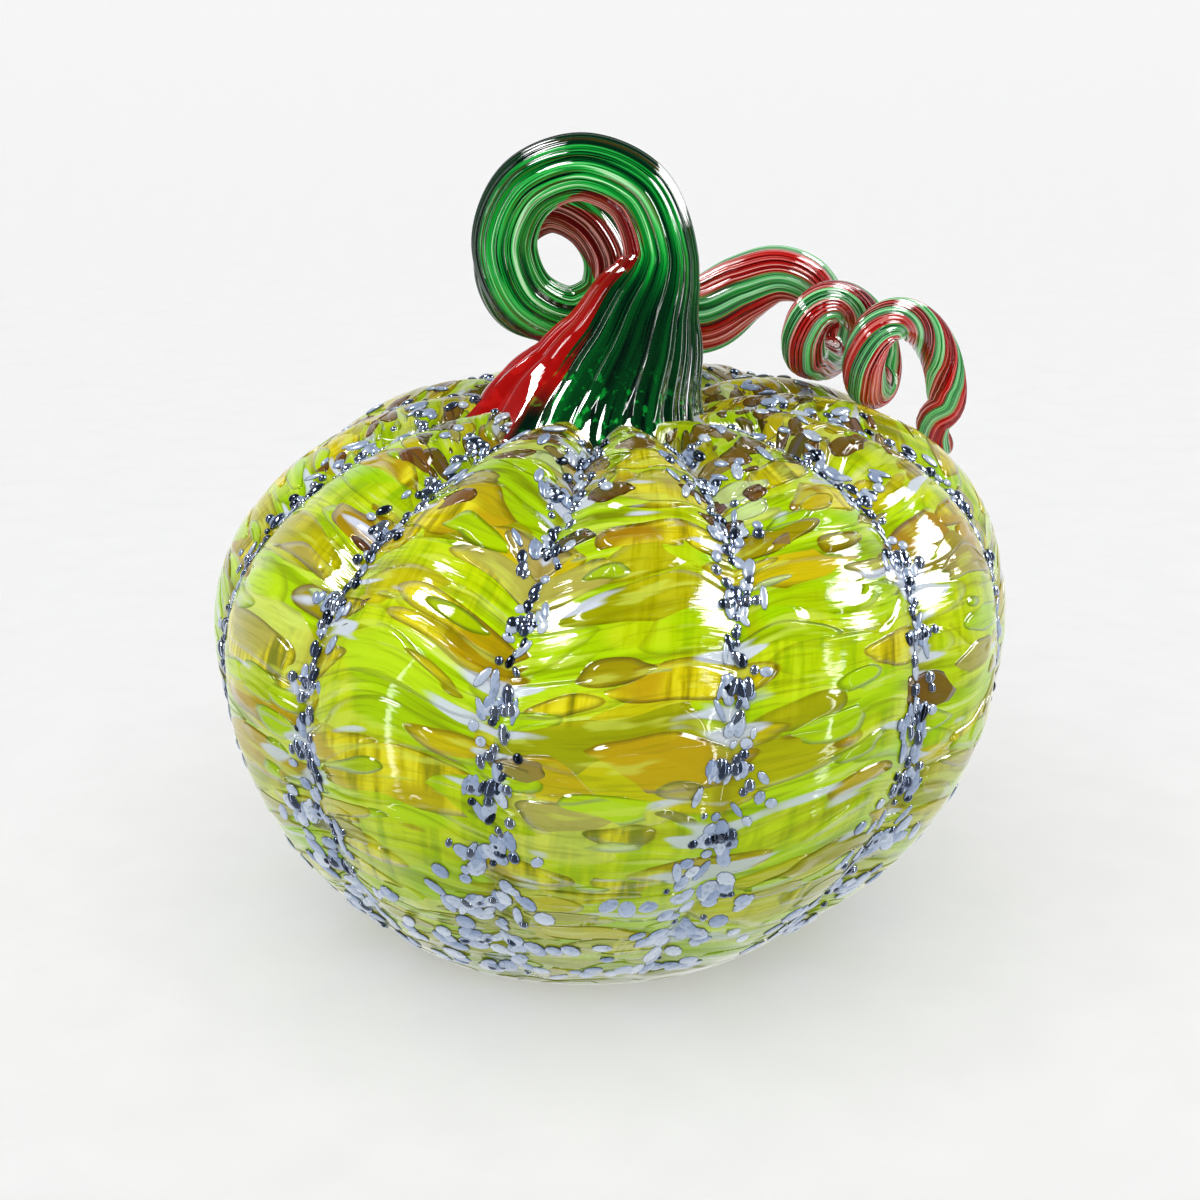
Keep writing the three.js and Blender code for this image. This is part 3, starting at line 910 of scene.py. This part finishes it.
floor_half = 12
flat_half = 8
edge_curl = 0.25
sheet_squares = 24
table_glow = 0.395
dark_side = Vector((0, -0.9, 0.45)).normalized()
paper, start = new_material("pale_table")
grain = start.node("ShaderNodeTexCoord", {}, {}, over_object).fog(60, 3)
pale = grain.shades((0.3, "#C4C4C4"), (0.7, "#CACACA"))
look = {
    "Base Color": pale,
    "Roughness": 0.6,
    "Specular IOR Level": 0.2,
    "Emission Color": (1, 1, 1, 1),
    "Emission Strength": table_glow,
}
start.end_with(look)
sheet = bmesh.new()
squares = {"x_segments": sheet_squares, "y_segments": sheet_squares}
bmesh.ops.create_grid(sheet, size=floor_half, **squares)
for point in sheet.verts:
    beyond = max(0, abs(point.co.x) - flat_half, abs(point.co.y) - flat_half)
    point.co.z = edge_curl * beyond**2
for face in sheet.faces:
    face.smooth = True
table = new_piece("table_top", sheet)
table.data.materials.append(paper)
table.visible_glossy = False

# Light: a room that is pale behind the pumpkin and dark towards the camera, with soft boxes
sky = bpy.data.worlds.new("studio")
bpy.context.scene.world = sky
sky.use_nodes = True
sky.node_tree.nodes.clear()
start = Wire(sky.node_tree)
aim = start.node("ShaderNodeTexCoord", {}, {}, 0)
facing = aim.node("ShaderNodeVectorMath", {"operation": "DOT_PRODUCT"}, {0: aim, 1: dark_side}, 1)
shades = [
    (0.15, (0.9, 0.9, 0.92, 1)),
    (0.46, (0.07, 0.07, 0.08, 1)),
    (0.9, (0.012, 0.012, 0.015, 1)),
]
room = (facing * 0.5 + 0.5).ramp("EASE", shades)
lit = start.node("ShaderNodeBackground", {}, {"Color": room, "Strength": 1.0})
start.node("ShaderNodeOutputWorld", {}, {"Surface": lit})

fill = bpy.data.lights.new("fill", "SUN")
fill.energy = 2.5
fill.angle = math.radians(100)
fill_lamp = bpy.data.objects.new("fill", fill)
fill_lamp.rotation_euler = (math.radians(25), 0, math.radians(-12))
fill_lamp.visible_glossy = False
bpy.context.scene.collection.objects.link(fill_lamp)

# Name, place, width, depth and watts
soft_boxes = [
    ("left_box", (-0.50, -0.18, 0.85), 0.42, 0.22, 9),
    ("right_box", (0.74, 0.05, 0.67), 0.6, 0.46, 17),
    ("left_strip", (-0.75, -0.5, 0.05), 0.05, 1.1, 1.3),
    ("right_strip", (0.6, -0.45, 0.05), 0.035, 1.0, 1.2),
]
for name, place, wide, deep, power in soft_boxes:
    lamp = bpy.data.lights.new(name, "AREA")
    lamp.shape, lamp.size, lamp.size_y, lamp.energy = "RECTANGLE", wide, deep, power
    box = bpy.data.objects.new(name, lamp)
    box.location = place
    box.rotation_euler = (Vector((0, 0, 0.06)) - Vector(place)).to_track_quat("-Z", "Y").to_euler()
    box.visible_camera = box.visible_diffuse = False
    bpy.context.scene.collection.objects.link(box)

# Camera: a little above the pumpkin, in front of it
lens = bpy.data.cameras.new("camera")
lens.lens = 61.65
lens.sensor_width = 36
lens.clip_start, lens.clip_end = 0.01, 30
camera = bpy.data.objects.new("camera", lens)
camera.location = (-0.0020, -0.4085, 0.1993)
camera.rotation_euler = (math.radians(71.8), 0, 0)
bpy.context.scene.collection.objects.link(camera)
bpy.context.scene.camera = camera
bpy.context.scene.view_settings.view_transform = "Standard"
bpy.context.scene.view_settings.look = "None"
